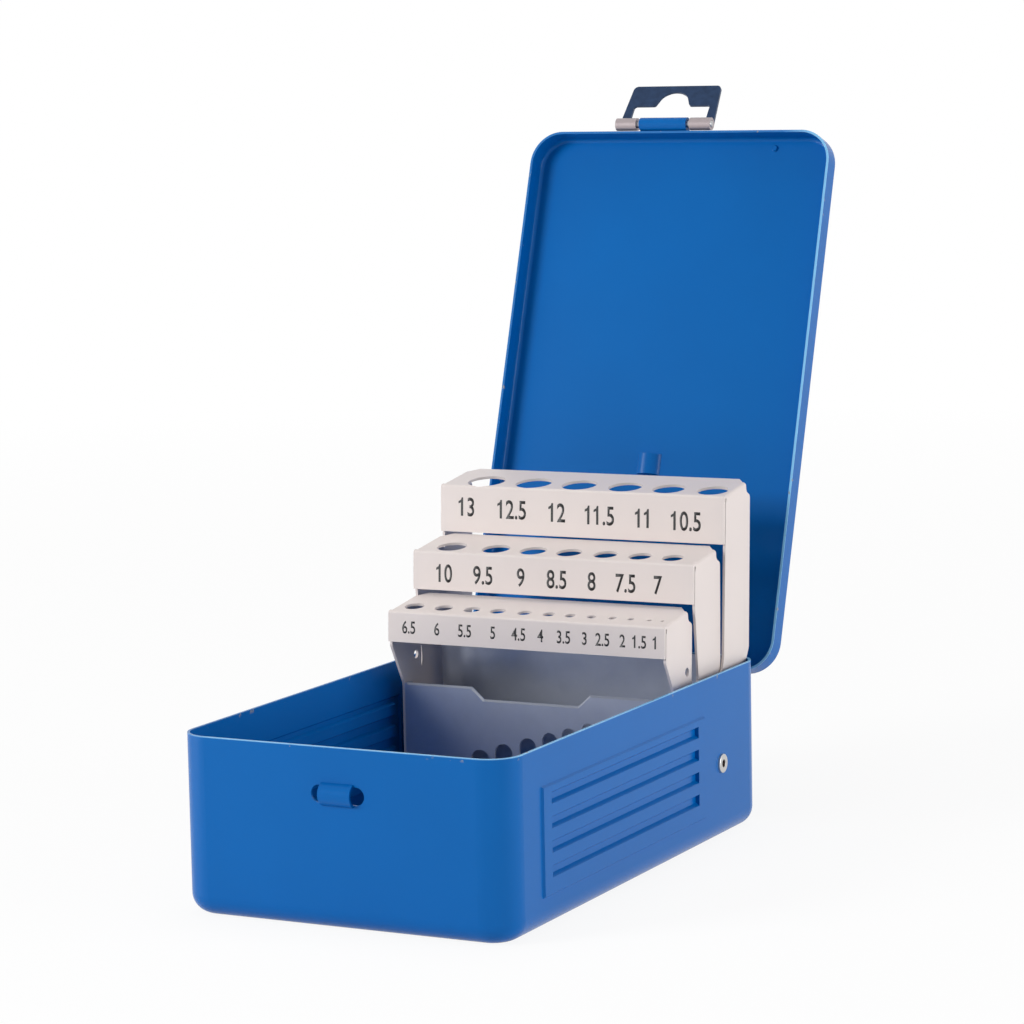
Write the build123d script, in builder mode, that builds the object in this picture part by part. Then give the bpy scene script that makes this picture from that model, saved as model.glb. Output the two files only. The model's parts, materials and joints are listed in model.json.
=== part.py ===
from build123d import *
import math
import os

os.makedirs("parts", exist_ok=True)

# A sheet metal index case for drill bits, standing open. The origin is the middle of the
# underside, X runs across the case, Y to the back and Z up. Sizes are in millimetres.

# Base pan, drawn from one sheet
base_width = 115.0
base_length = 192.0
base_height = 57.0
pan_sheet = 0.8
corner_radius = 10.5
bottom_radius = 6.5

# Raised field on each side wall, with four sunk grooves
field_from_front = 22.3
field_from_back = 48.5
field_bottom = 10.5
field_below_rim = 12.0
field_rise = 0.7
field_taper = 40.0
groove_inset = 5.8
groove_count = 4
groove_first = 17.9
groove_pitch = 7.55
groove_mouth = 3.8
groove_floor = 2.0
groove_depth = 1.4

# Catch, a bridge pressed out between two slits in the front wall, open at both ends
catch_across = 0.0
catch_below_rim = 14.6
catch_width = 18.4
catch_height = 5.6
catch_reach = 2.8
catch_bridge = 11.0

# Lid pan, which drops over the outside of the base
lid_gap = 0.3
lid_depth = 8.5
lid_overlap = 6.0
lid_edge_radius = 2.2
lid_open_angle = 108.4
loop_from_front = 121.2
loop_width = 9.0
loop_height = 7.4
loop_reach = 2.6
dimple_across = 34.5
dimple_from_front = 4.6
dimple_radius = 1.3
dimple_depth = 0.7
pressed_taper = 30.0

# Hinge at the back
hinge_behind = 3.2
hinge_below_rim = 8.0
hinge_length = 78.0
hinge_knuckles = 5
knuckle_gap = 0.4
hinge_pin_radius = 1.2
pin_clearance = 0.05
leaf_sheet = 0.8
leaf_height = 11.2
lid_leaf_height = 7.0
hinge_rivets = 4
rivet_shank = 1.25
rivet_head_radius = 2.4
rivet_head_height = 0.8

# Clasp on the front edge of the lid
clasp_across = -7.0
clasp_pin_ahead = 2.8
clasp_pin_above_rim = 1.0
clasp_pin_radius = 1.25
clasp_pin_length = 37.6
clasp_pin_chamfer = 0.3
roll_radius = 2.4
clasp_roll_radius = 2.3
clasp_side_gap = 1.3
bracket_width = 18.4
bracket_leaf = 6.2
bracket_edge = 0.3
clasp_sheet = 1.0
clasp_foot_width = 37.2
clasp_top_width = 34.4
clasp_length = 18.4
clasp_gap_width = 30.0
clasp_leg = 9.5
clasp_arch_width = 13.6
clasp_arch_height = 6.2
clasp_arch_shoulder = 0.72
clasp_arch_fall = 1.7
clasp_corner = 1.8
clasp_inner_corner = 1.0
clasp_lean = 39.0

# Pivot that carries the three tiers
pivot_from_back = 34.2
pivot_height = 26.4
pivot_radius = 2.0
pivot_bore = 1.2
pivot_head_radius = 3.2
pivot_head_height = 0.9
spacer_radius = 4.5
arm_clearance = 0.3
wall_to_arms = 2.9

# Tiers, folded from cream painted sheet
tier_sheet = 0.9
plate_depth = 22.7
plate_tilt = 8.0
tier_lean = 2.7
fold_radius = 1.4
side_fold_radius = 1.2
relief = 1.6
lip_gap = 0.4
arm_drop = 2.2
front_arm_hole = (-13.6, 32.8)
front_arm_hole_radius = 1.5
corner_cut = 4.0
hole_setback = 6.8
drill_clearance = 0.35
tip_hole_share = 0.3
tip_hole_limit = 3.6
tip_rivet_radius = 1.1
tip_rivet_head = 1.8
tip_rivet_head_height = 0.6
tip_rivet_inset = 4.0
front_rivet_height = 13.4
low_rivet_height = 3.7

# Each tier: fold behind the pivot, fold above the pivot, height of the front lip, and the
# drill sizes with their places along half the width of the tier.
tiers = {
    "front": (
        -31.0,
        50.4,
        10.4,
        {6.5: -0.872, 6: -0.654, 5.5: -0.444, 5: -0.255, 4.5: -0.06, 4: 0.117,
         3.5: 0.27, 3: 0.424, 2.5: 0.574, 2: 0.704, 1.5: 0.835, 1: 0.926},
    ),
    "middle": (
        -10.0,
        68.2,
        13.2,
        {10: -0.781, 9.5: -0.458, 9: -0.188, 8.5: 0.07, 8: 0.329, 7.5: 0.572, 7: 0.8},
    ),
    "rear": (
        13.4,
        88.2,
        16.2,
        {13: -0.729, 12.5: -0.388, 12: -0.063, 11.5: 0.262, 11: 0.565, 10.5: 0.868},
    ),
}

# Where the tiers' tip plates lie, behind and above the pivot
front_tip_face = -22.2
front_tip_top = 24.3
front_tip_back = -10.0
front_tip_middle = 2.4
front_tip_climb = 14.65
notch_depth = 4.0
notch_across = -2.6
notch_top_width = 44.4
notch_bottom_width = 35.4
arch_height = 6.0
arch_clearance = 1.7
arch_squeeze = 0.915
arch_shift = -1.1
edge_break = 0.6
middle_tip_front = -16.4
middle_tip_back = 2.6
middle_tip_wall = 36.0
middle_wall_gap = 0.8
rear_tip_front = 4.6
rear_tip_back = 23.8
tip_floor = -18.4
tip_lip = 4.0
tab_height = 6.0
tab_corner = 1.5
front_tab_rise = 14.0
front_tab_drop = 2.0

# Places worked out from the driving dimensions
base_half = base_width / 2
front_wall = -base_length / 2
back_wall = base_length / 2
inside_width = base_width - 2 * pan_sheet
inside_length = base_length - 2 * pan_sheet
field_top = base_height - field_below_rim
hinge_y = back_wall + hinge_behind
hinge_z = base_height - hinge_below_rim
pivot_y = back_wall - pivot_from_back
rear_half = base_half - pan_sheet - wall_to_arms
tier_halves = {
    "rear": rear_half,
    "middle": rear_half - tier_sheet - arm_clearance,
    "front": rear_half - 2 * (tier_sheet + arm_clearance),
}
knuckle_radius = hinge_pin_radius + pin_clearance + leaf_sheet


# The most of a side that the rounding of one of its corners takes
rounding_share = 0.45


def closed_line(corners):
    """A closed line through (across, up, radius) corners, each as round as its sides allow."""
    points = [Vector(across, up) for across, up, radius in corners]
    radii = []
    for here, corner in enumerate(corners):
        before = points[here - 1] - points[here]
        after = points[(here + 1) % len(points)] - points[here]
        half_turn = math.radians(180 - before.get_angle(after)) / 2
        room = rounding_share * min(before.length, after.length) / math.tan(half_turn)
        radii.append(min(corner[2], room))
    FilletPolyline(*points, radius=radii, close=True)


def turned(across, behind, above, angle):
    """A level plane set at a point and turned about a line along X."""
    return Plane((across, behind, above)).rotated((angle, 0, 0))


def side_of(level, across=0.0):
    """The upright plane that runs front to back through a level plane's origin."""
    origin = level.from_local_coords((across, 0, 0))
    return Plane(origin, x_dir=level.y_dir, z_dir=level.x_dir)


# ---- Base pan ----
with BuildPart() as base_inside:
    with BuildSketch(Plane.XY.offset(pan_sheet)):
        RectangleRounded(inside_width, inside_length, corner_radius - pan_sheet)
    extrude(amount=base_height)
    fillet(base_inside.faces().sort_by(Axis.Z)[0].edges(), bottom_radius - pan_sheet)

with BuildPart() as base_pan:
    with BuildSketch():
        RectangleRounded(base_width, base_length, corner_radius)
    extrude(amount=base_height)
    fillet(base_pan.faces().sort_by(Axis.Z)[0].edges(), bottom_radius)
    add(base_inside.part, mode=Mode.SUBTRACT)

    field_front = front_wall + field_from_front
    field_back = back_wall - field_from_back
    field_middle = ((field_front + field_back) / 2, (field_bottom + field_top) / 2)
    field_size = (field_back - field_front, field_top - field_bottom)
    for side in (-1, 1):
        out = Plane((0, 0, 0), x_dir=(0, side, 0), z_dir=(side, 0, 0))
        with BuildSketch(out.offset(base_half)):
            with Locations((side * field_middle[0], field_middle[1])):
                Rectangle(*field_size)
        extrude(amount=field_rise, taper=field_taper)
        with BuildSketch(out.offset(base_half - pan_sheet)):
            with Locations((side * field_middle[0], field_middle[1])):
                Rectangle(*field_size)
        extrude(amount=field_rise, taper=field_taper, mode=Mode.SUBTRACT)
        face = base_half + field_rise
        groove_back = field_back - groove_inset
        groove_run = field_size[0] - 2 * groove_inset
        for row in range(groove_count):
            middle = groove_first + row * groove_pitch
            for swell, mode in ((pan_sheet, Mode.ADD), (0, Mode.SUBTRACT)):
                half_mouth = groove_mouth / 2 + swell
                half_floor = groove_floor / 2 + swell
                floor = face - groove_depth - swell
                mouth = face - swell / 2
                with BuildSketch(Plane.XZ.offset(-groove_back - swell)):
                    with BuildLine():
                        Polyline(
                            (side * mouth, middle - half_mouth),
                            (side * floor, middle - half_floor),
                            (side * floor, middle + half_floor),
                            (side * mouth, middle + half_mouth),
                            close=True,
                        )
                    make_face()
                extrude(amount=groove_run + 2 * swell, mode=mode)

    catch_centre = (catch_across, base_height - catch_below_rim)
    with BuildSketch(Plane.XZ.offset(-front_wall)):
        with Locations(catch_centre):
            SlotOverall(catch_width, catch_height)
    extrude(amount=2 * pan_sheet, both=True, mode=Mode.SUBTRACT)
    bridge_half = catch_height / 2 + pan_sheet
    bridge_radius = (bridge_half**2 + catch_reach**2) / (2 * catch_reach)
    with BuildSketch(Plane.YZ.offset(catch_across - catch_bridge / 2)):
        with Locations((front_wall - catch_reach + bridge_radius, catch_centre[1])):
            Circle(bridge_radius)
            Circle(bridge_radius - pan_sheet, mode=Mode.SUBTRACT)
        with Locations((front_wall + pan_sheet, catch_centre[1])):
            Rectangle(
                catch_reach + 2 * pan_sheet,
                2 * bridge_radius,
                align=(Align.MAX, Align.CENTER),
                mode=Mode.INTERSECT,
            )
    extrude(amount=catch_bridge)
    for side in (-1, 1):
        with BuildSketch(Plane.YZ.offset(side * base_half)):
            with Locations((pivot_y, pivot_height)):
                Circle(pivot_radius + pin_clearance)
        extrude(amount=2 * pan_sheet, both=True, mode=Mode.SUBTRACT)
    rivet_across = [
        (row - (hinge_rivets - 1) / 2) * hinge_length / hinge_rivets for row in range(hinge_rivets)
    ]
    leaf_top = hinge_z - knuckle_radius + leaf_sheet
    base_rivet_height = leaf_top - leaf_height / 2 - leaf_sheet
    with BuildSketch(Plane.XZ.offset(-back_wall + 2 * pan_sheet)):
        with Locations(*[(x, base_rivet_height) for x in rivet_across]):
            Circle(rivet_shank)
    extrude(amount=-4 * pan_sheet, mode=Mode.SUBTRACT)
base_pan.part.label = "base_pan"
export_step(base_pan.part, "parts/base_pan.step")

# ---- Lid pan, made in its closed place about the hinge line and turned open ----
lid_level = turned(0, hinge_y, hinge_z, -lid_open_angle)
lid_side = side_of(lid_level)
lid_rim = base_height - lid_overlap - hinge_z
lid_top = lid_rim + lid_depth
lid_grow = lid_gap + pan_sheet
lid_middle = -hinge_y
lid_front = front_wall - lid_grow - hinge_y
lid_back = back_wall + lid_grow - hinge_y
lid_axis = Axis(lid_level.origin, lid_level.z_dir)
with BuildPart() as lid_inside:
    with BuildSketch(lid_level.offset(lid_rim)):
        with Locations((0, lid_middle)):
            RectangleRounded(
                base_width + 2 * lid_gap, base_length + 2 * lid_gap, corner_radius + lid_gap
            )
    extrude(amount=lid_depth - pan_sheet)
    fillet(lid_inside.faces().sort_by(lid_axis)[-1].edges(), lid_edge_radius - pan_sheet)

with BuildPart() as lid_pan:
    with BuildSketch(lid_level.offset(lid_rim)):
        with Locations((0, lid_middle)):
            RectangleRounded(
                base_width + 2 * lid_grow, base_length + 2 * lid_grow, corner_radius + lid_grow
            )
    extrude(amount=lid_depth)
    fillet(lid_pan.faces().sort_by(lid_axis)[-1].edges(), lid_edge_radius)
    add(lid_inside.part, mode=Mode.SUBTRACT)

    panel_inside = lid_top - pan_sheet
    loop_y = lid_front + loop_from_front
    loop_outer = (loop_width**2 / 4 + loop_reach**2) / (2 * loop_reach)
    loop_plane = Plane(
        lid_level.from_local_coords((0, loop_y - loop_height / 2, 0)),
        x_dir=lid_level.x_dir,
        z_dir=-lid_level.y_dir,
    )
    with BuildSketch(loop_plane):
        with Locations((0, panel_inside + loop_outer - loop_reach)):
            Circle(loop_outer)
        with Locations((0, panel_inside + pan_sheet / 2)):
            Rectangle(loop_width, 3 * loop_reach, align=(Align.CENTER, Align.MAX), mode=Mode.INTERSECT)
    extrude(amount=-loop_height)
    with BuildSketch(lid_level.offset(panel_inside)):
        with Locations((dimple_across, lid_front + dimple_from_front)):
            Circle(dimple_radius)
    extrude(amount=-dimple_depth, taper=pressed_taper)
    lid_rivet_height = lid_rim + lid_leaf_height / 2
    lid_back_plane = Plane(lid_level.origin, x_dir=lid_level.x_dir, z_dir=-lid_level.y_dir)
    with BuildSketch(lid_back_plane.offset(-lid_back - pan_sheet)):
        with Locations(*[(x, lid_rivet_height) for x in rivet_across]):
            Circle(rivet_shank)
    extrude(amount=3 * pan_sheet, mode=Mode.SUBTRACT)
lid_pan.part.label = "lid_pan"
export_step(lid_pan.part, "parts/lid_pan.step")

# ---- Hinge: two rolled leaves on one pin ----
knuckle_pitch = hinge_length / hinge_knuckles


def leaf_outline(wall, end, side):
    """Leaf in side view: flat on its wall, bent out to meet the roll round the pin."""
    outer = side * knuckle_radius
    inner = side * (knuckle_radius - leaf_sheet)
    return [
        (wall, end, 0),
        (wall + leaf_sheet, end, 0),
        (wall + leaf_sheet, outer, 0),
        (0, outer, 0),
        (0, inner, 0),
        (wall, inner, 0),
    ]


hinge_level = Plane((0, hinge_y, hinge_z))
leaves = {
    "base_hinge_leaf": (hinge_level, -hinge_behind, leaf_top - hinge_z - leaf_height, -1, 0),
    "lid_hinge_leaf": (lid_level, lid_back, lid_rim + lid_leaf_height, 1, 1),
}
for name, (level, wall, end, side, first) in leaves.items():
    with BuildPart() as leaf:
        with BuildSketch(side_of(level)):
            with BuildLine():
                closed_line(leaf_outline(wall, end, side))
            make_face()
        extrude(amount=hinge_length / 2, both=True)
        with BuildSketch(side_of(level)):
            Circle(knuckle_radius)
        extrude(amount=hinge_length / 2, both=True)
        with BuildSketch(side_of(level)):
            Circle(hinge_pin_radius + pin_clearance)
        extrude(amount=hinge_length, both=True, mode=Mode.SUBTRACT)
        # Room for the other leaf's knuckles
        for knuckle in range(1 - first, hinge_knuckles, 2):
            start = -hinge_length / 2 + knuckle * knuckle_pitch
            with BuildSketch(side_of(level, start - knuckle_gap / 2)):
                Circle(knuckle_radius + knuckle_gap)
            extrude(amount=knuckle_pitch + knuckle_gap, mode=Mode.SUBTRACT)
        rivet_height = base_rivet_height - hinge_z if side < 0 else lid_rivet_height
        rivet_plane = Plane(level.origin, x_dir=level.x_dir, z_dir=-level.y_dir)
        with BuildSketch(rivet_plane.offset(-wall - 2 * leaf_sheet)):
            with Locations(*[(x, rivet_height) for x in rivet_across]):
                Circle(rivet_shank)
        extrude(amount=3 * leaf_sheet, mode=Mode.SUBTRACT)
    leaf.part.label = name
    export_step(leaf.part, f"parts/{name}.step")

with BuildPart() as hinge_pin:
    with BuildSketch(side_of(hinge_level, -hinge_length / 2)):
        Circle(hinge_pin_radius)
    extrude(amount=hinge_length)
hinge_pin.part.label = "hinge_pin"
export_step(hinge_pin.part, "parts/hinge_pin.step")

# Rivets of both leaves: a low dome outside, flush with the sheet inside
rivet_rows = {
    "base_hinge_rivets": (hinge_level, -hinge_behind, base_rivet_height - hinge_z),
    "lid_hinge_rivets": (lid_level, lid_back, lid_rivet_height),
}
dome = (rivet_head_radius**2 + rivet_head_height**2) / (2 * rivet_head_height)
for name, (level, wall, height) in rivet_rows.items():
    with BuildPart() as rivets:
        for across in rivet_across:
            centre = level.from_local_coords((across, wall - pan_sheet, height))
            with BuildSketch(Plane(centre, x_dir=level.x_dir, z_dir=level.y_dir)):
                Circle(rivet_shank)
            extrude(amount=pan_sheet + leaf_sheet)
            half_section = Plane(
                level.from_local_coords((across, wall + leaf_sheet, height)),
                x_dir=level.x_dir,
                z_dir=level.z_dir,
            )
            with BuildSketch(half_section):
                with BuildLine():
                    Line((0, 0), (rivet_head_radius, 0))
                    RadiusArc((rivet_head_radius, 0), (0, rivet_head_height), -dome)
                    Line((0, rivet_head_height), (0, 0))
                make_face()
            revolve(axis=Axis(half_section.origin, level.y_dir))
    rivets.part.label = name
    export_step(rivets.part, f"parts/{name}.step")

# ---- Clasp: painted bracket on the lid, pin, and plated catch plate ----
clasp_y = lid_front - clasp_pin_ahead
clasp_z = lid_rim + clasp_pin_above_rim
clasp_point = lid_level.from_local_coords((clasp_across, clasp_y, clasp_z))
clasp_bore = clasp_pin_radius + pin_clearance
bracket_level = turned(*clasp_point, -lid_open_angle)
with BuildPart() as clasp_bracket:
    with BuildSketch(side_of(bracket_level, -bracket_width / 2)):
        with BuildLine():
            closed_line(
                [
                    (clasp_pin_ahead, 0, 0),
                    (clasp_pin_ahead, bracket_leaf, 0),
                    (clasp_pin_ahead - leaf_sheet, bracket_leaf, bracket_edge),
                    (clasp_pin_ahead - leaf_sheet, roll_radius, 0),
                    (0, roll_radius, 0),
                    (0, 0, 0),
                ]
            )
        make_face()
        Circle(roll_radius)
        Circle(clasp_bore, mode=Mode.SUBTRACT)
    extrude(amount=bracket_width)
clasp_bracket.part.label = "clasp_bracket"
export_step(clasp_bracket.part, "parts/clasp_bracket.step")

with BuildPart() as clasp_pin:
    with BuildSketch(side_of(bracket_level, -clasp_pin_length / 2)):
        Circle(clasp_pin_radius)
    extrude(amount=clasp_pin_length)
    chamfer(clasp_pin.faces().filter_by(Axis.X).edges(), clasp_pin_chamfer)
clasp_pin.part.label = "clasp_pin"
export_step(clasp_pin.part, "parts/clasp_pin.step")

# The plate stands up from the pin and leans back, with its rolled ends on the near side
clasp_level = turned(*clasp_point, 90 - clasp_lean)
with BuildPart() as clasp:
    with BuildSketch(clasp_level.offset(-clasp_roll_radius)):
        foot = clasp_foot_width / 2
        top = clasp_top_width / 2
        gap = clasp_gap_width / 2
        arch = clasp_arch_width / 2
        arch_top = clasp_leg + clasp_arch_height
        with BuildLine():
            closed_line(
                [
                    (-foot, 0, 0),
                    (-gap, 0, 0),
                    (-gap, clasp_leg, clasp_inner_corner),
                    (-arch, clasp_leg, clasp_inner_corner),
                    (-clasp_arch_shoulder * arch, arch_top - clasp_arch_fall, arch),
                    (-clasp_arch_shoulder * arch / 3, arch_top, arch),
                    (clasp_arch_shoulder * arch / 3, arch_top, arch),
                    (clasp_arch_shoulder * arch, arch_top - clasp_arch_fall, arch),
                    (arch, clasp_leg, clasp_inner_corner),
                    (gap, clasp_leg, clasp_inner_corner),
                    (gap, 0, 0),
                    (foot, 0, 0),
                    (top, clasp_length, clasp_corner),
                    (-top, clasp_length, clasp_corner),
                ]
            )
        make_face()
    extrude(amount=clasp_sheet)
    for side in (-1, 1):
        inner = bracket_width / 2 + clasp_side_gap
        start = inner if side > 0 else -foot
        with BuildSketch(side_of(clasp_level, start)):
            Circle(clasp_roll_radius)
            Circle(clasp_bore, mode=Mode.SUBTRACT)
        extrude(amount=foot - inner)
    # The legs keep clear of the bracket's roll
    with BuildSketch(side_of(clasp_level, -inner)):
        Circle(roll_radius + knuckle_gap)
    extrude(amount=2 * inner, mode=Mode.SUBTRACT)
clasp.part.label = "clasp"
export_step(clasp.part, "parts/clasp.step")

# ---- Pivots: a tubular rivet and a spacer on each side ----
rivet_inside = tier_halves["front"] - tier_sheet - arm_clearance - pivot_head_height
for side_name, side in (("left", -1), ("right", 1)):
    outward = Plane((0, pivot_y, pivot_height), x_dir=(0, side, 0), z_dir=(side, 0, 0))
    with BuildPart() as pivot_rivet:
        with BuildSketch(outward.offset(rivet_inside)):
            Circle(pivot_radius)
        extrude(amount=base_half + pivot_head_height - rivet_inside)
        for start in (rivet_inside, base_half):
            with BuildSketch(outward.offset(start)):
                Circle(pivot_head_radius)
            extrude(amount=pivot_head_height)
        with BuildSketch(outward.offset(rivet_inside)):
            Circle(pivot_bore)
        extrude(amount=base_width, mode=Mode.SUBTRACT)
        outer_rim = pivot_rivet.edges().filter_by(GeomType.CIRCLE).group_by(Axis.X)[-1 if side > 0 else 0]
        fillet(outer_rim, pivot_head_height / 3)
    pivot_rivet.part.label = f"{side_name}_pivot_rivet"
    export_step(pivot_rivet.part, f"parts/{side_name}_pivot_rivet.step")

with BuildPart() as wall_spacers:
    for side in (-1, 1):
        outward = Plane((0, pivot_y, pivot_height), x_dir=(0, side, 0), z_dir=(side, 0, 0))
        with BuildSketch(outward.offset(rear_half + arm_clearance / 2)):
            Circle(spacer_radius)
            Circle(pivot_radius + pin_clearance, mode=Mode.SUBTRACT)
        extrude(amount=wall_to_arms - arm_clearance / 2)
wall_spacers.part.label = "wall_spacers"
export_step(wall_spacers.part, "parts/wall_spacers.step")

# ---- Tiers: plate, front lip and two arms bent from one sheet ----
tilt = math.radians(plate_tilt)
lean = math.radians(tier_lean)


def plate_point(fold, along):
    """A point on the top of a tier's plate, some way back from its front fold."""
    return (fold[0] + along * math.cos(tilt), fold[1] + along * math.sin(tilt))


def arm_outline(name, fold, lip):
    """One arm in side view: points behind and above the pivot with their rounding, clockwise
    from the front of its top edge."""
    drop = 1.5 * side_fold_radius
    behind_lip = tier_sheet + lip_gap
    start = plate_point(fold, relief)
    stop = plate_point(fold, plate_depth - corner_cut)
    end = plate_point(fold, plate_depth)
    lip_y = fold[0] - lip * math.tan(lean)
    lip_z = fold[1] - lip
    top = [
        (fold[0] - arm_drop * math.tan(lean) + behind_lip, fold[1] - arm_drop, 0.4),
        (start[0], fold[1] - arm_drop, 0),
        (start[0], start[1] - drop, 0),
        (stop[0], stop[1] - drop, 0),
        (stop[0] + 0.8, stop[1] - 3.4, 1.5),
        (end[0] - 0.6, end[1] - 5.2, 1.5),
    ]
    lower = {
        "front": [
            (-9.6, 37.0, 0),
            (-10.2, 28.0, 5),
            (7.0, 12.0, 8),
            (10.0, -9.0, 9),
            (front_tip_back, tip_floor + 8.4, 5),
            (front_tip_face, tip_floor + 8.4, 1.5),
            (front_tip_face, 24.0, 6),
            (-30.4, 38.4, 10),
            (lip_y + behind_lip, lip_z, 6),
        ],
        "middle": [
            (11.2, 30.0, 8),
            (10.0, -6.0, 5),
            (3.0, -12.0, 3),
            (3.0, tip_floor, 1.5),
            (middle_tip_front, tip_floor, 2),
            (-18.0, -8.0, 4),
            (-11.0, 8.0, 6),
            (-7.0, 30.0, 8),
            (lip_y + behind_lip, lip_z, 0),
        ],
        "rear": [
            (32.9, 34.0, 2),
            (29.8, 29.0, 3),
            (29.4, 4.0, 20),
            (rear_tip_back, tip_floor, 2),
            (rear_tip_front, tip_floor, 2),
            (-9.0, -9.0, 7),
            (-9.0, 5.0, 7),
            (11.4, 31.0, 12),
            (lip_y + behind_lip, lip_z, 0),
        ],
    }[name]
    return top + lower


def tip_plate_profile(front, back):
    """Channel in side view that carries the drill tips, open upward."""
    sheet = tier_sheet
    return [
        (front, tip_floor, 0.8),
        (back, tip_floor, 0.8),
        (back, tip_floor + tip_lip, 0),
        (back - sheet, tip_floor + tip_lip, 0),
        (back - sheet, tip_floor + sheet, 0),
        (front + sheet, tip_floor + sheet, 0),
        (front + sheet, tip_floor + tip_lip, 0),
        (front, tip_floor + tip_lip, 0),
    ]


tip_spans = {
    "front": (front_tip_face, front_tip_back),
    "middle": (middle_tip_front, middle_tip_back),
    "rear": (rear_tip_front, rear_tip_back),
}
pivot_side = Plane((0, pivot_y, pivot_height), x_dir=(0, 1, 0), z_dir=(1, 0, 0))
for name, (fold_behind, fold_above, lip, row) in tiers.items():
    half = tier_halves[name]
    inner_half = half - tier_sheet
    fold = (fold_behind, fold_above)
    normal = (-math.sin(tilt), math.cos(tilt))
    rear_top = plate_point(fold, plate_depth)
    rear_low = (rear_top[0] - tier_sheet * normal[0], rear_top[1] - tier_sheet * normal[1])
    lip_foot = (fold[0] - lip * math.tan(lean), fold[1] - lip)
    inner_fold = (
        fold[0] + tier_sheet,
        fold[1] + tier_sheet * math.tan(tilt) - tier_sheet / math.cos(tilt),
    )
    relief_top = plate_point(fold, relief)
    relief_low = (
        relief_top[0] - tier_sheet * normal[0],
        relief_top[1] - tier_sheet * normal[1],
    )
    with BuildPart() as tier:
        # Lip and the front of the plate, as wide as the arms, which stand just behind it
        with BuildSketch(pivot_side):
            with BuildLine():
                closed_line(
                    [
                        (*fold, fold_radius),
                        (*relief_top, 0),
                        (*relief_low, 0),
                        (*inner_fold, fold_radius - tier_sheet),
                        (lip_foot[0] + tier_sheet, lip_foot[1], 0),
                        (*lip_foot, 0),
                    ]
                )
            make_face()
        extrude(amount=half, both=True)
        # Plate with its rounded bends down both sides
        plate_level = turned(0, pivot_y + fold[0], pivot_height + fold[1], plate_tilt)
        across_level = Plane(
            plate_level.from_local_coords((0, relief, 0)),
            x_dir=-plate_level.x_dir,
            z_dir=plate_level.y_dir,
        )
        bend_depth = 2 * side_fold_radius
        inner_radius = side_fold_radius - tier_sheet
        with BuildSketch(across_level):
            with BuildLine():
                closed_line(
                    [
                        (-half, -bend_depth, 0),
                        (-half, 0, side_fold_radius),
                        (half, 0, side_fold_radius),
                        (half, -bend_depth, 0),
                        (inner_half, -bend_depth, 0),
                        (inner_half, -tier_sheet, inner_radius),
                        (-inner_half, -tier_sheet, inner_radius),
                        (-inner_half, -bend_depth, 0),
                    ]
                )
            make_face()
        extrude(amount=plate_depth - corner_cut - relief)
        # Back of the plate, its corners cut at 45 degrees
        with BuildSketch(plate_level):
            with BuildLine():
                Polyline(
                    (-half + side_fold_radius, plate_depth - corner_cut),
                    (half - side_fold_radius, plate_depth - corner_cut),
                    (half - corner_cut, plate_depth),
                    (-half + corner_cut, plate_depth),
                    close=True,
                )
            make_face()
        extrude(amount=-tier_sheet)
        # Arms
        for start in (-half, inner_half):
            with BuildSketch(pivot_side.offset(start)):
                with BuildLine():
                    closed_line(arm_outline(name, fold, lip))
                make_face()
                Circle(pivot_radius + pin_clearance, mode=Mode.SUBTRACT)
                if name == "front":
                    with Locations(front_arm_hole):
                        Circle(front_arm_hole_radius, mode=Mode.SUBTRACT)
            extrude(amount=tier_sheet)
        # Drill holes, square to the plate
        with BuildSketch(plate_level.offset(tier_sheet)):
            for drill, share in row.items():
                with Locations((share * half, hole_setback)):
                    Circle((drill + drill_clearance) / 2)
        extrude(amount=-3 * tier_sheet, mode=Mode.SUBTRACT)
        # Flush rivet holes for the tip plate
        front, back = tip_spans[name]
        rivet_up = tip_floor + (front_rivet_height if name == "front" else low_rivet_height)
        rivet_places = [(front + tip_rivet_inset, rivet_up), (back - tip_rivet_inset, rivet_up)]
        with BuildSketch(pivot_side.offset(-half)):
            with Locations(*rivet_places):
                Circle(tip_rivet_radius)
        extrude(amount=2 * half, mode=Mode.SUBTRACT)
    tier.part.label = f"{name}_tier"
    export_step(tier.part, f"parts/{name}_tier.step")

    with BuildPart() as tip_plate:
        if name == "front":
            # Upright face with a shallow notch, and a shelf that climbs to the right
            left_foot = front_tip_middle - front_tip_climb
            right_foot = front_tip_middle + front_tip_climb
            face_plane = Plane(
                (0, pivot_y + front_tip_face, pivot_height), x_dir=(1, 0, 0), z_dir=(0, -1, 0)
            )
            notch_floor = front_tip_top - notch_depth
            with BuildSketch(face_plane):
                with BuildLine():
                    Polyline(
                        (-inner_half, left_foot),
                        (inner_half, right_foot),
                        (inner_half, front_tip_top),
                        (notch_across + notch_top_width / 2, front_tip_top),
                        (notch_across + notch_bottom_width / 2, notch_floor),
                        (notch_across - notch_bottom_width / 2, notch_floor),
                        (notch_across - notch_top_width / 2, front_tip_top),
                        (-inner_half, front_tip_top),
                        close=True,
                    )
                make_face()
            extrude(amount=-tier_sheet)
            # The sheared top edge is broken towards the front
            top_edges = [
                edge
                for edge in tip_plate.faces().sort_by(Axis.Y)[0].edges()
                if edge.center().Z > pivot_height + notch_floor - edge_break
                and abs(edge.center().X) < inner_half - edge_break
            ]
            chamfer(top_edges, edge_break)
            with BuildSketch(face_plane):
                with BuildLine():
                    Polyline(
                        (-inner_half, left_foot),
                        (inner_half, right_foot),
                        (inner_half, right_foot + tier_sheet),
                        (-inner_half, left_foot + tier_sheet),
                        close=True,
                    )
                make_face()
            extrude(amount=-(front_tip_back - front_tip_face))
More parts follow.
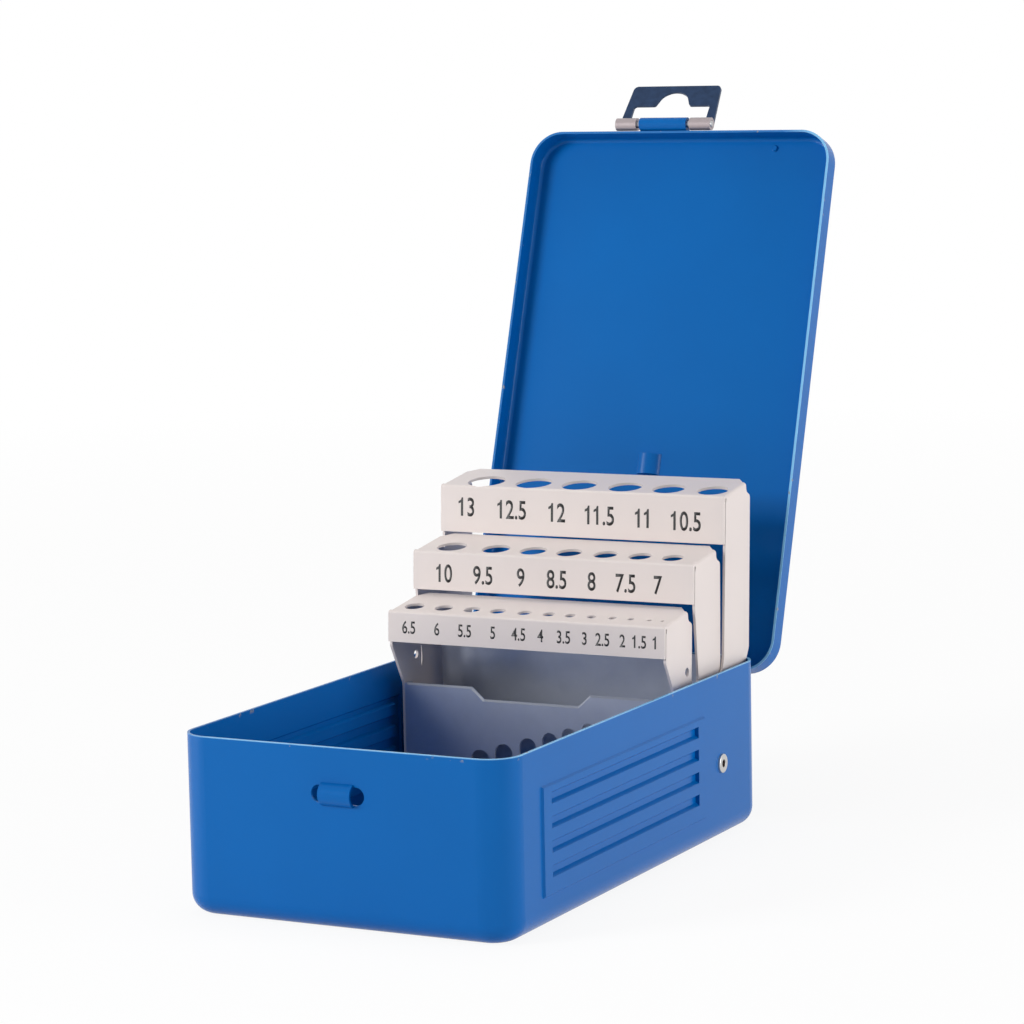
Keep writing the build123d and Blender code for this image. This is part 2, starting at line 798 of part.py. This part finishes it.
            # Windows with round tops, one for each drill
            with BuildSketch(face_plane):
                for drill, share in row.items():
                    x = share * half * arch_squeeze + arch_shift
                    foot_z = front_tip_middle + front_tip_climb * x / inner_half + tier_sheet
                    width = min(drill + arch_clearance, 2 * arch_height)
                    tall = min(arch_height, front_tip_top - foot_z - tier_sheet)
                    with Locations((x, foot_z + tall - width / 2)):
                        Circle(width / 2)
                    with Locations((x, foot_z)):
                        Rectangle(width, tall - width / 2, align=(Align.CENTER, Align.MIN))
            extrude(amount=-tier_sheet, mode=Mode.SUBTRACT)
            for side, foot in ((-1, left_foot), (1, right_foot)):
                with BuildSketch(pivot_side.offset(side * inner_half)):
                    with BuildLine():
                        closed_line(
                            [
                                (front_tip_face, foot, 0),
                                (front_tip_back, foot, 0),
                                (
                                    front_tip_back,
                                    min(foot + front_tab_rise, front_tip_top - front_tab_drop),
                                    tab_corner,
                                ),
                                (front_tip_face + tip_rivet_inset, front_tip_top, tab_corner),
                                (front_tip_face, front_tip_top, 0),
                            ]
                        )
                    make_face()
                extrude(amount=-side * tier_sheet)
        else:
            with BuildSketch(pivot_side):
                with BuildLine():
                    closed_line(tip_plate_profile(front, back))
                make_face()
            extrude(amount=inner_half, both=True)
            if name == "middle":
                # Upright sheet behind the drill tips, which clears the ends of the pivots
                wall_half = rivet_inside - middle_wall_gap
                with BuildSketch(pivot_side):
                    with Locations((back, tip_floor)):
                        Rectangle(
                            tier_sheet, middle_tip_wall - tip_floor, align=(Align.MAX, Align.MIN)
                        )
                extrude(amount=wall_half, both=True)
            with BuildSketch(Plane.XY.offset(pivot_height + tip_floor - tier_sheet)):
                for drill, share in row.items():
                    with Locations((share * half, pivot_y + (front + back) / 2)):
                        Circle(min(drill * tip_hole_share, tip_hole_limit) / 2)
            extrude(amount=3 * tier_sheet, mode=Mode.SUBTRACT)
            for side in (-1, 1):
                with BuildSketch(pivot_side.offset(side * inner_half)):
                    with BuildLine():
                        closed_line(
                            [
                                (front, tip_floor + tier_sheet, 0),
                                (back, tip_floor + tier_sheet, 0),
                                (back, tip_floor + tab_height, tab_corner),
                                (front, tip_floor + tab_height, tab_corner),
                            ]
                        )
                    make_face()
                extrude(amount=-side * tier_sheet)
        with BuildSketch(pivot_side.offset(-half)):
            with Locations(*rivet_places):
                Circle(tip_rivet_radius)
        extrude(amount=2 * half, mode=Mode.SUBTRACT)
    tip_plate.part.label = f"{name}_tip_plate"
    export_step(tip_plate.part, f"parts/{name}_tip_plate.step")

    with BuildPart() as tip_rivets:
        for side in (-1, 1):
            for place in rivet_places:
                with BuildSketch(pivot_side.offset(side * half)):
                    with Locations(place):
                        Circle(tip_rivet_radius)
                extrude(amount=-side * 2 * tier_sheet)
                with BuildSketch(pivot_side.offset(side * (inner_half - tier_sheet))):
                    with Locations(place):
                        Circle(tip_rivet_head)
                extrude(amount=-side * tip_rivet_head_height, taper=pressed_taper)
    tip_rivets.part.label = f"{name}_tip_rivets"
    export_step(tip_rivets.part, f"parts/{name}_tip_rivets.step")
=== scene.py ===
import json
import math

import bmesh
import bpy
from mathutils import Matrix, Vector


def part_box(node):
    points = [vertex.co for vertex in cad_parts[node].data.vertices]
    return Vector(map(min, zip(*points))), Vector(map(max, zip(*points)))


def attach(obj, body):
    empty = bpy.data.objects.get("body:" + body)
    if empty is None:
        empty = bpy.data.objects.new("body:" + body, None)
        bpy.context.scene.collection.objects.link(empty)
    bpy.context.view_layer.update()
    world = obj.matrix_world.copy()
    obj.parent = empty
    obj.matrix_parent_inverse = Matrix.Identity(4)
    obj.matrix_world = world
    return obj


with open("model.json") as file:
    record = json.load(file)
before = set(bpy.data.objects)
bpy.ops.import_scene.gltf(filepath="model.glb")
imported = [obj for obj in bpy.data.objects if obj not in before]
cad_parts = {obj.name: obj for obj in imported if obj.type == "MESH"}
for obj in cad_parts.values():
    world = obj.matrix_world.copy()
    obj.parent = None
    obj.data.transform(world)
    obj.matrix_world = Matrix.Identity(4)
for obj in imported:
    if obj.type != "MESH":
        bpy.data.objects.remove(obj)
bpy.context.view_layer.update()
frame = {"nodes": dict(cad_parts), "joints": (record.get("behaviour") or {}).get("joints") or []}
nodes = frame["nodes"]

# ---- Viewpoint -------------------------------------------------------------------------
# The case stands on a bench and is seen from its front right corner, a little above the
# rim, through a long lens. The angles and the distance are those of the photograph.
YAW, PITCH, ROLL = math.radians(26.99), math.radians(7.42), math.radians(-1.136)
DISTANCE = 1.14645
LOOK_RIGHT, LOOK_UP = 0.0085, 0.11557
SENSOR_WIDTH = 36
LENS_PER_FRAME = 3500 / 1024

back = Vector(
    (
        math.sin(YAW) * math.cos(PITCH),
        -math.cos(YAW) * math.cos(PITCH),
        math.sin(PITCH),
    )
)
level_right = Vector((math.cos(YAW), math.sin(YAW), 0))
level_up = back.cross(level_right)
right = math.cos(ROLL) * level_right + math.sin(ROLL) * level_up
up = math.cos(ROLL) * level_up - math.sin(ROLL) * level_right

camera_data = bpy.data.cameras.new("bench_camera")
camera_data.sensor_width = SENSOR_WIDTH
camera_data.lens = SENSOR_WIDTH * LENS_PER_FRAME
camera_data.clip_start = 0.01
camera = bpy.data.objects.new("bench_camera", camera_data)
place = DISTANCE * back + LOOK_RIGHT * right + LOOK_UP * up
camera.matrix_world = Matrix.Translation(place) @ Matrix((right, up, back)).transposed().to_4x4()
bpy.context.collection.objects.link(camera)
bpy.context.scene.camera = camera
bpy.context.scene.view_settings.view_transform = "Standard"


# ---- Floor, white surround and lamps -----------------------------------------------------
# A pale matt sheet under the case and plain white all round it. The surround shows white to
# the eye and in reflections, and gives less light than that to the case.
def linear(hex_colour):
    """An sRGB hex colour such as #0062AE as linear red, green, blue and alpha."""
    parts = [int(hex_colour[i : i + 2], 16) / 255 for i in (1, 3, 5)]
    straight = [p / 12.92 if p <= 0.04045 else ((p + 0.055) / 1.055) ** 2.4 for p in parts]
    return (*straight, 1.0)


def add_node(tree, kind, inputs=None, **settings):
    """One node with its settings, its plain input values and its links."""
    node = tree.nodes.new(kind)
    for name, value in settings.items():
        setattr(node, name, value)
    for socket, value in (inputs or {}).items():
        if isinstance(value, bpy.types.NodeSocket):
            tree.links.new(value, node.inputs[socket])
        else:
            node.inputs[socket].default_value = value
    return node


WHITE = (1, 1, 1, 1)
SURROUND_LIGHT = 0.3
world = bpy.data.worlds.new("white_surround")
bpy.context.scene.world = world
world.use_nodes = True
sky = world.node_tree
sky.nodes.clear()
rays = add_node(sky, "ShaderNodeLightPath").outputs
seen = add_node(
    sky, "ShaderNodeMath", {0: rays["Is Camera Ray"], 1: rays["Is Glossy Ray"]}, operation="MAXIMUM"
)
seen = add_node(
    sky, "ShaderNodeMath", {0: seen.outputs[0], 1: rays["Is Transmission Ray"]}, operation="MAXIMUM"
)
strength = add_node(
    sky, "ShaderNodeMapRange", {"Value": seen.outputs[0], "To Min": SURROUND_LIGHT, "To Max": 1.0}
)
white = add_node(
    sky, "ShaderNodeBackground", {"Color": WHITE, "Strength": strength.outputs["Result"]}
)
add_node(sky, "ShaderNodeOutputWorld", {"Surface": white.outputs[0]})

FLOOR_HALF = 1.5
FLOOR_PAPER = "#F4F4F4"
SHADOW_REACH = 0.2
SHADOW_VEIL = 0.9
floor_mesh = bpy.data.meshes.new("bench_sheet")
floor_mesh.from_pydata(
    [(x * FLOOR_HALF, y * FLOOR_HALF, 0) for x, y in ((-1, -1), (1, -1), (1, 1), (-1, 1))],
    [],
    [(0, 1, 2, 3)],
)
floor = bpy.data.objects.new("bench_sheet", floor_mesh)
bpy.context.collection.objects.link(floor)
paper = bpy.data.materials.new("matt_paper")
paper.use_nodes = True
tree = paper.node_tree
tree.nodes["Principled BSDF"].inputs["Roughness"].default_value = 0.9
tree.nodes["Principled BSDF"].inputs["Base Color"].default_value = linear(FLOOR_PAPER)
glow = add_node(tree, "ShaderNodeEmission", {"Color": WHITE, "Strength": 1.0})
rays = add_node(tree, "ShaderNodeLightPath").outputs
show = add_node(
    tree,
    "ShaderNodeMath",
    {0: rays["Is Camera Ray"], 1: rays["Is Glossy Ray"]},
    operation="MAXIMUM",
)
# The shadow stays near the case, and further off the sheet fades into the white surround
spot = add_node(tree, "ShaderNodeTexCoord").outputs["Object"]
reach = add_node(tree, "ShaderNodeVectorMath", {0: spot}, operation="LENGTH")
fade = add_node(
    tree,
    "ShaderNodeMapRange",
    {
        "Value": reach.outputs["Value"],
        "From Min": SHADOW_REACH,
        "From Max": FLOOR_HALF,
        "To Min": SHADOW_VEIL,
        "To Max": 1.0,
    },
)
veil = add_node(
    tree, "ShaderNodeMath", {0: show.outputs[0], 1: fade.outputs["Result"]}, operation="MULTIPLY"
)
blend = add_node(
    tree,
    "ShaderNodeMixShader",
    {0: veil.outputs[0], 1: tree.nodes["Principled BSDF"].outputs[0], 2: glow.outputs[0]},
)
tree.links.new(blend.outputs[0], tree.nodes["Material Output"].inputs["Surface"])
floor.data.materials.append(paper)


LAMP_AIM = Vector((0, 0.03, 0.08))


def lamp(name, place, wide, watts, mirrored, tall=None, lights=True):
    """A soft box that faces the middle of the case. Mirrored says whether it shows in gloss,
    and lights whether it lights matt surfaces."""
    data = bpy.data.lights.new(name, "AREA")
    data.size = wide
    if tall:
        data.shape = "RECTANGLE"
        data.size_y = tall
    data.energy = watts
    box = bpy.data.objects.new(name, data)
    box.location = place
    box.visible_glossy = mirrored
    box.visible_diffuse = lights
    box.rotation_euler = (Vector(place) - LAMP_AIM).to_track_quat("Z", "Y").to_euler()
    bpy.context.collection.objects.link(box)


lamp("key_front_left", (-0.9, -1.15, 0.72), 0.55, 18, mirrored=False)
lamp("low_right", (1.25, 0.1, 0.3), 0.5, 9, mirrored=True)
lamp("top_soft", (-0.1, 0.2, 1.5), 0.7, 5, mirrored=False)
# Shows only as a sheen on the rounded edges that face it
lamp("corner_strip", (-1.1, -0.62, 0.26), 0.45, 24, mirrored=True, tall=0.5, lights=False)


# ---- Base pan ----------------------------------------------------------------------------
# Deep drawn from 0.8 mm steel sheet and stove enamelled blue, inside and out. The enamel is
# glossy, with the faint orange peel of sprayed paint, and thin where it runs over cut edges;
# a pale painted highlight lies along the cut rim.
MM = 0.001
ENAMEL_BLUE = "#0062AE"
ENAMEL_DEEP = "#005BA4"
# Pale blue on the cut rim: partly thin enamel, partly a painted highlight
THIN_ENAMEL_AND_HIGHLIGHT = "#86C3EA"
BARE_STEEL = "#8D8E8C"
ENAMEL_DRIFT = 45 * MM
ENAMEL_PEEL = 1.6 * MM
PEEL_DEPTH = 0.04 * MM
PEEL_STRENGTH = 0.18
# How far below the rim the thin enamel with its painted highlight, and the chips, end and are at
# their fullest
THIN_AND_HIGHLIGHT_END, THIN_AND_HIGHLIGHT_FULL = 0.35 * MM, 0.1 * MM
CHIPS_END, CHIPS_FULL = 1.6 * MM, 0.3 * MM
CHIP_GRAIN = 3.2 * MM
CHIP_LEVEL, CHIP_SOFTNESS = 0.66, 0.04
# How much of the thin enamel and painted highlight shows left and right of where it strengthens
RIM_HIGHLIGHT_LEFT, RIM_HIGHLIGHT_RIGHT = 0.12, 0.85
# Over what width the painted highlight strengthens, and where it starts on the base
HIGHLIGHT_FADE = 12 * MM
BASE_HIGHLIGHT_FROM = -56 * MM


def new_finish(name):
    """An empty finish: its material, node tree, shader and the place on the piece."""
    material = bpy.data.materials.new(name)
    material.use_nodes = True
    tree = material.node_tree
    where = add_node(tree, "ShaderNodeTexCoord").outputs["Object"]
    return material, tree, tree.nodes["Principled BSDF"], where


def two_tone(tree, where, grain, detail, first, second):
    """Two colours in soft patches as wide as the grain, and the patches themselves."""
    patches = add_node(
        tree, "ShaderNodeTexNoise", {"Vector": where, "Scale": 1 / grain, "Detail": detail}
    )
    tone = add_node(
        tree,
        "ShaderNodeMix",
        {"Factor": patches.outputs["Fac"], "A": linear(first), "B": linear(second)},
        data_type="RGBA",
    )
    return tone.outputs["Result"], patches.outputs["Fac"]


def blue_enamel(name, rim_place, rim_facing, highlight_from=BASE_HIGHLIGHT_FROM):
    """Blue stove enamel, a little chipped along the cut rim of its pan, where thinned enamel and a
    painted highlight make the rim pale. The painted highlight is stronger to the right of the
    point given."""
    material, tree, shader, where = new_finish(name)
    body, _ = two_tone(tree, where, ENAMEL_DRIFT, 3.0, ENAMEL_BLUE, ENAMEL_DEEP)
    # Distance along the rim's facing: it is greatest on the cut edge, where it is rim_level
    along = add_node(
        tree, "ShaderNodeVectorMath", {0: where, 1: tuple(rim_facing)}, operation="DOT_PRODUCT"
    )
    rim_level = Vector(rim_place).dot(Vector(rim_facing))
    rim, near_rim = (
        add_node(
            tree,
            "ShaderNodeMapRange",
            {
                "Value": along.outputs["Value"],
                "From Min": rim_level - end,
                "From Max": rim_level - full,
            },
        ).outputs["Result"]
        for end, full in ((THIN_AND_HIGHLIGHT_END, THIN_AND_HIGHLIGHT_FULL), (CHIPS_END, CHIPS_FULL))
    )
    chips = add_node(
        tree, "ShaderNodeTexNoise", {"Vector": where, "Scale": 1 / CHIP_GRAIN, "Detail": 4.0}
    )
    chip_edge = add_node(
        tree,
        "ShaderNodeMapRange",
        {
            "Value": chips.outputs["Fac"],
            "From Min": CHIP_LEVEL,
            "From Max": CHIP_LEVEL + CHIP_SOFTNESS,
        },
    )
    chipped = add_node(
        tree, "ShaderNodeMath", {0: chip_edge.outputs["Result"], 1: near_rim}, operation="MULTIPLY"
    )
    # The painted highlight on the rim is stronger to the right of the given point
    across = add_node(tree, "ShaderNodeSeparateXYZ", {"Vector": where}).outputs["X"]
    highlight_share = add_node(
        tree,
        "ShaderNodeMapRange",
        {
            "Value": across,
            "From Min": highlight_from,
            "From Max": highlight_from + HIGHLIGHT_FADE,
            "To Min": RIM_HIGHLIGHT_LEFT,
            "To Max": RIM_HIGHLIGHT_RIGHT,
        },
    )
    pale = add_node(
        tree, "ShaderNodeMath", {0: rim, 1: highlight_share.outputs["Result"]}, operation="MULTIPLY"
    )
    thin_and_highlit = add_node(
        tree,
        "ShaderNodeMix",
        {"Factor": pale.outputs[0], "A": body, "B": linear(THIN_ENAMEL_AND_HIGHLIGHT)},
        data_type="RGBA",
    )
    painted = add_node(
        tree,
        "ShaderNodeMix",
        {"Factor": chipped.outputs[0], "A": thin_and_highlit.outputs["Result"], "B": linear(BARE_STEEL)},
        data_type="RGBA",
    )
    tree.links.new(painted.outputs["Result"], shader.inputs["Base Color"])
    peel = add_node(
        tree, "ShaderNodeTexNoise", {"Vector": where, "Scale": 1 / ENAMEL_PEEL, "Detail": 1.0}
    )
    bump = add_node(
        tree,
        "ShaderNodeBump",
        {"Height": peel.outputs["Fac"], "Strength": PEEL_STRENGTH, "Distance": PEEL_DEPTH},
    )
    tree.links.new(bump.outputs["Normal"], shader.inputs["Normal"])
    shader.inputs["Roughness"].default_value = 0.26
    shader.inputs["IOR"].default_value = 1.5
    shader.inputs["Specular IOR Level"].default_value = 0.14
    return material


def dress(node_name, material):
    """Gives a CAD piece its finish."""
    piece = nodes[node_name]
    piece.data.materials.clear()
    piece.data.materials.append(material)


_, base_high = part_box("base_pan")
dress("base_pan", blue_enamel("blue_enamel_base", (0, 0, base_high[2]), (0, 0, 1)))


# ---- Hinge -------------------------------------------------------------------------------
# Two leaves of the same sheet, rolled round a bright steel pin and held to the pans by domed
# rivets. Leaves and rivets were sprayed with the pans, the pin was pushed in afterwards.

# Painted all over: their rim plane is set a metre up, out of reach
plain_blue = blue_enamel("blue_enamel_fittings", (0, 0, 1), (0, 0, 1))
for fitting in ("base_hinge_leaf", "lid_hinge_leaf", "base_hinge_rivets", "lid_hinge_rivets"):
    dress(fitting, plain_blue)

WIRE_GRAIN = 0.35 * MM
WIRE_GRAIN_DEPTH = 0.02 * MM
WIRE_GRAIN_STRENGTH = 0.15
ZINC_LIGHT = "#C9CACB"
ZINC_DARK = "#A2A4A7"


def zinc_plate():
    """Bright zinc over drawn steel: a fine grain and a soft, broken shine."""
    material, tree, shader, where = new_finish("bright_zinc_steel")
    tone, grain = two_tone(tree, where, WIRE_GRAIN, 3.0, ZINC_DARK, ZINC_LIGHT)
    dull = add_node(tree, "ShaderNodeMapRange", {"Value": grain, "To Min": 0.22, "To Max": 0.4})
    tree.links.new(tone, shader.inputs["Base Color"])
    tree.links.new(dull.outputs["Result"], shader.inputs["Roughness"])
    bump = add_node(
        tree,
        "ShaderNodeBump",
        {"Height": grain, "Strength": WIRE_GRAIN_STRENGTH, "Distance": WIRE_GRAIN_DEPTH},
    )
    tree.links.new(bump.outputs["Normal"], shader.inputs["Normal"])
    shader.inputs["Metallic"].default_value = 1.0
    return material


zinc = zinc_plate()
for fitting in ("hinge_pin", "wall_spacers"):
    dress(fitting, zinc)

# ---- Side rivets -------------------------------------------------------------------------
# Tubular steel rivets closed over the side walls. Their bores have rusted brown.
PIVOT = Vector(next(j for j in frame["joints"] if j["name"] == "rear_rack_pivot")["pos_m"])
BORE_EDGE = 1.3 * MM
BORE_FADE = 0.3 * MM
RUST_GRAIN = 0.8 * MM
RIVET_STEEL = "#C4C3C1"
BORE_RUST = "#3A2317"


def from_axis(tree, where, axis):
    """Distance from a line that runs across the case."""
    side_place = add_node(
        tree, "ShaderNodeVectorMath", {0: where, 1: (0, 1, 1)}, operation="MULTIPLY"
    )
    distance = add_node(
        tree,
        "ShaderNodeVectorMath",
        {0: side_place.outputs[0], 1: (0, axis.y, axis.z)},
        operation="DISTANCE",
    )
    return distance.outputs["Value"]


def rusty_bore_steel():
    """Plain bright steel round the rivet's head, and dull brown rust inside its bore."""
    material, tree, shader, where = new_finish("rusty_bore_steel")
    spread = add_node(tree, "ShaderNodeTexNoise", {"Vector": where, "Scale": 1 / RUST_GRAIN})
    ragged = add_node(
        tree,
        "ShaderNodeMath",
        {0: spread.outputs["Fac"], 1: BORE_FADE, 2: from_axis(tree, where, PIVOT)},
        operation="MULTIPLY_ADD",
    )
    ring = add_node(
        tree,
        "ShaderNodeMapRange",
        {"Value": ragged.outputs[0], "From Min": BORE_EDGE, "From Max": BORE_EDGE + BORE_FADE},
    )
    tone = add_node(
        tree,
        "ShaderNodeMix",
        {"Factor": ring.outputs["Result"], "A": linear(BORE_RUST), "B": linear(RIVET_STEEL)},
        data_type="RGBA",
    )
    tree.links.new(tone.outputs["Result"], shader.inputs["Base Color"])
    tree.links.new(ring.outputs["Result"], shader.inputs["Metallic"])
    shader.inputs["Roughness"].default_value = 0.3
    return material


rivet_steel = rusty_bore_steel()
for side in ("left", "right"):
    dress(f"{side}_pivot_rivet", rivet_steel)

# ---- Lid pan -----------------------------------------------------------------------------
# A shallow drawn lid, enamelled with the base, with a pale painted highlight on its rim that is
# strongest along its right edge. At rest it leans back, and so does the plane of its rim.
LID_RIM = 2.0 * MM
# Where the painted highlight on the lid's rim strengthens, towards its right edge
LID_HIGHLIGHT_FROM = 40 * MM
lid_hinge = next(j for j in frame["joints"] if j["name"] == "lid_hinge")
lid_angle = math.radians(lid_hinge["range_deg"][1])
lid_up = Vector((0, math.sin(lid_angle), math.cos(lid_angle)))
lid_rim = Vector(lid_hinge["pos_m"]) + LID_RIM * lid_up
dress("lid_pan", blue_enamel("blue_enamel_lid", lid_rim, -lid_up, LID_HIGHLIGHT_FROM))

# ---- Clasp -------------------------------------------------------------------------------
# A blanked steel plate with rolled ends, blackened and oiled, on a zinc plated pin. The
# painted bracket that holds the pin is a rolled strip on the edge of the lid.
dress("clasp_bracket", plain_blue)
dress("clasp_pin", zinc)

BLACKING_GRAIN = 2.5 * MM
BLACKED = "#10243F"
BLACKED_WORN = "#2B4468"
ROLL_WORN = "#A79C9E"
ROLL_RADIUS = 2.45 * MM
ROLL_FADE = 0.5 * MM
CLASP_PIN = Vector(next(j for j in frame["joints"] if j["name"] == "clasp_hinge")["pos_m"])


def blackened_steel():
    """Blue black finish on cold rolled steel: dark, smooth and mirror like at a slant. The
    rolls turn on the pin and are handled most, so they are worn back to bright steel."""
    material, tree, shader, where = new_finish("blackened_steel")
    tone, _ = two_tone(tree, where, BLACKING_GRAIN, 5.0, BLACKED, BLACKED_WORN)
    worn = add_node(
        tree,
        "ShaderNodeMapRange",
        {
            "Value": from_axis(tree, where, CLASP_PIN),
            "From Min": ROLL_RADIUS + ROLL_FADE,
            "From Max": ROLL_RADIUS,
        },
    )
    shown = add_node(
        tree,
        "ShaderNodeMix",
        {"Factor": worn.outputs["Result"], "A": tone, "B": linear(ROLL_WORN)},
        data_type="RGBA",
    )
    tree.links.new(shown.outputs["Result"], shader.inputs["Base Color"])
    shader.inputs["Metallic"].default_value = 0.6
    shader.inputs["Roughness"].default_value = 0.3
    return material


dress("clasp", blackened_steel())

# ---- Tiers -------------------------------------------------------------------------------
# Three holders bent from 0.9 mm sheet and sprayed a warm off white, satin rather than glossy.
# Each carries a tip plate, held by rivets sprayed with the tier, in a darker, cooler grey as
# painted shade.
CREAM = "#DFD5D1"
CREAM_SHADE = "#D7CDCA"
CREAM_DRIFT = 30 * MM
CREAM_PEEL = 1.1 * MM
CREAM_PEEL_DEPTH = 0.03 * MM
CREAM_PEEL_STRENGTH = 0.2
# The tip plates' darker, cooler grey is painted shade
TIP_GREY = "#C6CBD6"
TIP_GREY_DARK = "#B4BAC8"
TIP_CLOUD = 6 * MM


def cream_enamel():
    """Satin off white enamel over sheet steel, with a fine dry spray texture."""
    material, tree, shader, where = new_finish("cream_enamel")
    tone, _ = two_tone(tree, where, CREAM_DRIFT, 3.0, CREAM, CREAM_SHADE)
    peel = add_node(
        tree, "ShaderNodeTexNoise", {"Vector": where, "Scale": 1 / CREAM_PEEL, "Detail": 2.0}
    )
    tree.links.new(tone, shader.inputs["Base Color"])
    bump = add_node(
        tree,
        "ShaderNodeBump",
        {
            "Height": peel.outputs["Fac"],
            "Strength": CREAM_PEEL_STRENGTH,
            "Distance": CREAM_PEEL_DEPTH,
        },
    )
    tree.links.new(bump.outputs["Normal"], shader.inputs["Normal"])
    shader.inputs["Roughness"].default_value = 0.42
    shader.inputs["Specular IOR Level"].default_value = 0.35
    return material


def grey_tip_painted_shade():
    """Grey over bright steel, darker and cooler than the cream as painted shade; it mirrors the
    blue pan.
    """
    material, tree, shader, where = new_finish("grey_tip_painted_shade")
    tone, cloud = two_tone(tree, where, TIP_CLOUD, 4.0, TIP_GREY, TIP_GREY_DARK)
    dull = add_node(tree, "ShaderNodeMapRange", {"Value": cloud, "To Min": 0.28, "To Max": 0.42})
    tree.links.new(tone, shader.inputs["Base Color"])
    tree.links.new(dull.outputs["Result"], shader.inputs["Roughness"])
    shader.inputs["Metallic"].default_value = 0.7
    return material


cream = cream_enamel()
tip_shade_grey = grey_tip_painted_shade()
for tier in ("front", "middle", "rear"):
    dress(f"{tier}_tier", cream)
    dress(f"{tier}_tip_rivets", cream)
    dress(f"{tier}_tip_plate", tip_shade_grey)

# ---- Size numbers ------------------------------------------------------------------------
# The drill size beside each hole, printed in black on the lip of its tier. The print lies on
# the enamel as a film a few hundredths of a millimetre thick.
PRINT_FILM = 0.03 * MM
PRINT_NARROW = 0.74
PRINT_SWELL = 0.013
CAP_HEIGHT_SHARE = 0.69
LIP_LEAN = math.radians(2.7)
# Where each tier's front fold lies, in millimetres behind and above the common pivot
fold_places = {"front": (-31.0, 50.4), "middle": (-10.0, 68.2), "rear": (13.4, 88.2)}
# In millimetres: how far the figures' middles lie below the fold, how tall the figures are,
# how much the row falls for each millimetre to the right, and where along the lip each
# number stands
printing = {
    "rear": (
        8.15,
        6.3,
        0.018,
        {"13": -43.7, "12.5": -26.1, "12": -8.8, "11.5": 7.5, "11": 24.0, "10.5": 39.8},
    ),
    "middle": (
        7.3,
        6.0,
        0.0,
        {"10": -40.7, "9.5": -25.7, "9": -11.3, "8.5": 2.3, "8": 15.3, "7.5": 27.9, "7": 39.6},
    ),
    "front": (
        5.2,
        4.1,
        0.0,
        {
            "6.5": -43.5,
            "6": -32.8,
            "5.5": -22.2,
            "5": -11.6,
            "4.5": -1.9,
            "4": 6.2,
            "3.5": 14.7,
            "3": 22.4,
            "2.5": 29.0,
            "2": 36.2,
            "1.5": 42.3,
            "1": 48.1,
        },
    ),
}

INK_GRAIN = 0.4 * MM
INK_BLACK = "#060607"
INK_THIN = "#131214"
ink, tree, shader, where = new_finish("black_print")
tone, _ = two_tone(tree, where, INK_GRAIN, 2.0, INK_BLACK, INK_THIN)
tree.links.new(tone, shader.inputs["Base Color"])
shader.inputs["Roughness"].default_value = 0.5

# The type is laid out sign by sign, in shares of its size. The figure one is cut from a listed
# outline, with a short flag.
FIGURE_STEP, POINT_STEP = 0.5, 0.219
FIGURE_ONE = (
    (0.30, -0.009),
    (0.30, 0.70),
    (0.21, 0.70),
    (0.17, 0.61),
    (0.03, 0.55),
    (0.03, 0.46),
    (0.17, 0.50),
    (0.17, -0.009),
)


def sign_mesh(sign):
    """One flat sign of size one, its foot at the origin."""
    if sign == "1":
        mesh = bpy.data.meshes.new("sign")
        mesh.from_pydata([(x, y, 0) for x, y in FIGURE_ONE], [], [range(len(FIGURE_ONE))])
        return mesh
    letters = bpy.data.curves.new("sign", "FONT")
    letters.body = sign
    letters.offset = PRINT_SWELL
    letters.resolution_u = 6
    sample = bpy.data.objects.new("sign", letters)
    bpy.context.collection.objects.link(sample)
    scene_now = bpy.context.evaluated_depsgraph_get()
    mesh = bpy.data.meshes.new_from_object(sample.evaluated_get(scene_now))
    bpy.data.objects.remove(sample)
    return mesh


def print_number(text, tier, across, below, tall):
    """One printed number, as a thin raised film on the lip of its tier."""
    steps = [POINT_STEP if sign == "." else FIGURE_STEP for sign in text]
    size = tall * MM / CAP_HEIGHT_SHARE
    film = bmesh.new()
    for place, sign in enumerate(text):
        flat = sign_mesh(sign)
        shift = Vector((sum(steps[:place]) - sum(steps) / 2, -CAP_HEIGHT_SHARE / 2, 0))
        flat.transform(Matrix.Scale(size, 4) @ Matrix.Translation(shift))
        film.from_mesh(flat)
    for part in bmesh.ops.extrude_face_region(film, geom=film.faces[:])["geom"]:
        if isinstance(part, bmesh.types.BMVert):
            part.co.z += PRINT_FILM
    bmesh.ops.recalc_face_normals(film, faces=film.faces[:])
    mesh = bpy.data.meshes.new("number")
    film.to_mesh(mesh)
    film.free()
    fold_behind, fold_above = fold_places[tier]
    middle = Vector(
        (
            across * MM,
            PIVOT.y + (fold_behind - below * math.tan(LIP_LEAN)) * MM,
            PIVOT.z + (fold_above - below) * MM,
        )
    )
    face = Matrix.Rotation(math.radians(90) - LIP_LEAN, 4, "X")
    narrow = Matrix.Diagonal((PRINT_NARROW, 1, 1, 1))
    mesh.transform(Matrix.Translation(middle) @ face @ narrow)
    mesh.materials.clear()
    mesh.materials.append(ink)
    number = bpy.data.objects.new(f"number_{text.replace('.', '_')}", mesh)
    bpy.context.collection.objects.link(number)
    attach(number, f"{tier}_rack")


for tier, (below, tall, slant, numbers) in printing.items():
    for text, across in numbers.items():
        print_number(text, tier, across, below + slant * across, tall)
